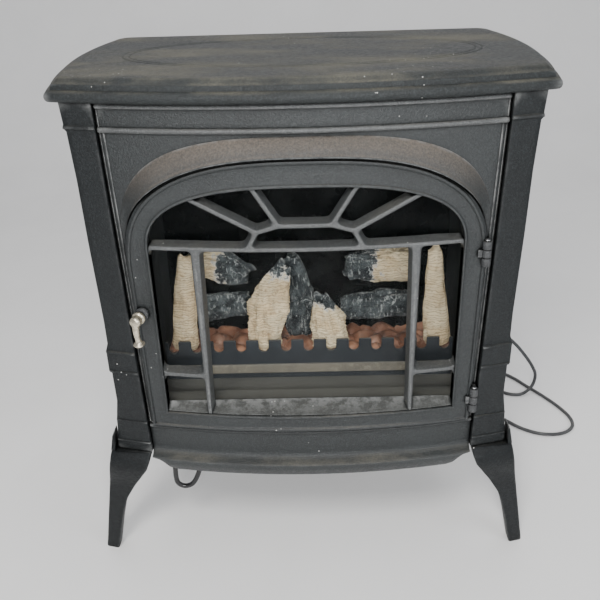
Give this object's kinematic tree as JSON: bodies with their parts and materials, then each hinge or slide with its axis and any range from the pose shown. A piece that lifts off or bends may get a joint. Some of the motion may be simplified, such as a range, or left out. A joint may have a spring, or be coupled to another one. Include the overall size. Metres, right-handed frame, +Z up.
{
  "type": "electric fireplace stove",
  "caption": "Freestanding bow-fronted electric stove with an arched barred glass door, ceramic log set, fan heater, splayed cast legs and a pull-out control drawer.",
  "frame": {"origin": "on the floor, at the bottom centre of the stove's bounding box, measured without the mains cord", "axes": "+Z up from the feet to the top plate, -Y the front with the door, +X the hinge side of the door (the viewer's right)"},
  "size_m": [0.9202, 0.5829, 0.805],
  "materials": {
    "cast_iron_charcoal": "satin, fine sand-cast grain, light dust on ledges",
    "black_sheet": "matte baked enamel",
    "grey_board": "matte greenish grey high-temperature paint",
    "beige_board": "matte beige paint",
    "bark": "matte moulded ceramic fibre, painted as bark",
    "char": "matte moulded ceramic fibre, painted as charred wood",
    "ember": "translucent amber resin, lumpy",
    "clear_glass": "clear tempered glass",
    "dark_screen": "dark silvered screen",
    "pale_brass": "worn pale brass",
    "zinc_steel": "bright zinc-plated steel",
    "black_wire": "gloss black enamel on steel rod",
    "black_plastic": "moulded, slightly satin",
    "red_plastic": "translucent red",
    "gasket_rope": "woven glass-fibre tape",
    "lamp_glass": "frosted bulb glass",
    "cord_rubber": "dark grey PVC sheath"
  },
  "bodies": {
    "stove": {"top_plate": "cast_iron_charcoal", "front_surround": "cast_iron_charcoal", "hearth_apron": "cast_iron_charcoal", "left_pilaster": "cast_iron_charcoal", "right_pilaster": "cast_iron_charcoal", "left_side_panel": "cast_iron_charcoal", "right_side_panel": "cast_iron_charcoal", "back_panel": "black_sheet", "bottom_plate": "black_sheet", "front_left_leg": "cast_iron_charcoal", "front_right_leg": "cast_iron_charcoal", "rear_left_leg": "cast_iron_charcoal", "rear_right_leg": "cast_iron_charcoal", "firebox_liner": "grey_board", "firebox_floor": "grey_board", "ember_fence": "grey_board", "ember_trim_strip": "beige_board", "ember_bed": "ember", "log_left_upright": "bark", "log_right_upright": "bark", "log_centre_left": "bark", "log_centre_chunk": "char", "log_centre_right": "bark", "log_left_charred": "char", "log_right_charred": "char", "log_left_upper": "bark", "log_right_upper": "char", "flame_screen": "dark_screen", "flame_motor": "black_sheet", "lamp_bracket": "black_sheet", "lamp_left": "lamp_glass", "lamp_right": "lamp_glass", "heater_housing": "black_sheet", "heating_element": "zinc_steel", "blower_motor": "black_sheet", "upper_hinge_pin": "zinc_steel", "lower_hinge_pin": "zinc_steel", "latch_strike": "zinc_steel", "control_housing": "black_sheet", "strain_relief": "black_plastic", "cord_tube": "cord_rubber", "cord_coil": "cord_rubber", "plug": "black_plastic"},
    "door": {"door_frame": "cast_iron_charcoal", "door_glass": "clear_glass", "glass_gasket": "gasket_rope", "handle_rosette": "pale_brass"},
    "handle": {"door_handle": "pale_brass", "latch_cam": "zinc_steel"},
    "spindle": {"flame_spindle": "zinc_steel"},
    "blower": {"blower_wheel": "black_plastic"},
    "drawer": {"control_drawer": "black_sheet", "wire_pull": "black_wire"},
    "power_rocker": {"power_switch": "red_plastic"},
    "heat_rocker": {"heat_switch": "black_plastic"},
    "thermostat": {"thermostat_knob": "black_plastic"},
    "flame_dimmer": {"flame_knob": "black_plastic"}
  },
  "joints": [
    {"name": "door_swing", "type": "hinge", "parent": "stove", "child": "door", "pos_m": [0.25, -0.176, 0.43], "axis": [0, 0, 1], "range_deg": [0, 115]},
    {"name": "handle_turn", "type": "hinge", "parent": "door", "child": "handle", "pos_m": [-0.2375, -0.17385, 0.4745], "axis": [0.2029, 0.9792, 0], "range_deg": [0, 90]},
    {"name": "flame_spindle_spin", "type": "hinge", "parent": "stove", "child": "spindle", "pos_m": [0, 0.0765, 0.4], "axis": [1, 0, 0], "continuous": true},
    {"name": "blower_spin", "type": "hinge", "parent": "stove", "child": "blower", "pos_m": [0, 0.0225, 0.236], "axis": [1, 0, 0], "continuous": true},
    {"name": "drawer_slide", "type": "slide", "parent": "stove", "child": "drawer", "axis": [0, -1, 0], "range_m": [0, 0.12]},
    {"name": "power_rock", "type": "hinge", "parent": "drawer", "child": "power_rocker", "pos_m": [-0.215, -0.0515, 0.168], "axis": [1, 0, 0], "range_deg": [-6, 6]},
    {"name": "heat_rock", "type": "hinge", "parent": "drawer", "child": "heat_rocker", "pos_m": [-0.185, -0.0515, 0.168], "axis": [1, 0, 0], "range_deg": [-6, 6]},
    {"name": "thermostat_turn", "type": "hinge", "parent": "drawer", "child": "thermostat", "pos_m": [-0.212, 0.0105, 0.176], "axis": [0, 0, -1], "range_deg": [0, 270]},
    {"name": "flame_dimmer_turn", "type": "hinge", "parent": "drawer", "child": "flame_dimmer", "pos_m": [-0.158, 0.0105, 0.176], "axis": [0, 0, -1], "range_deg": [0, 270]}
  ]
}
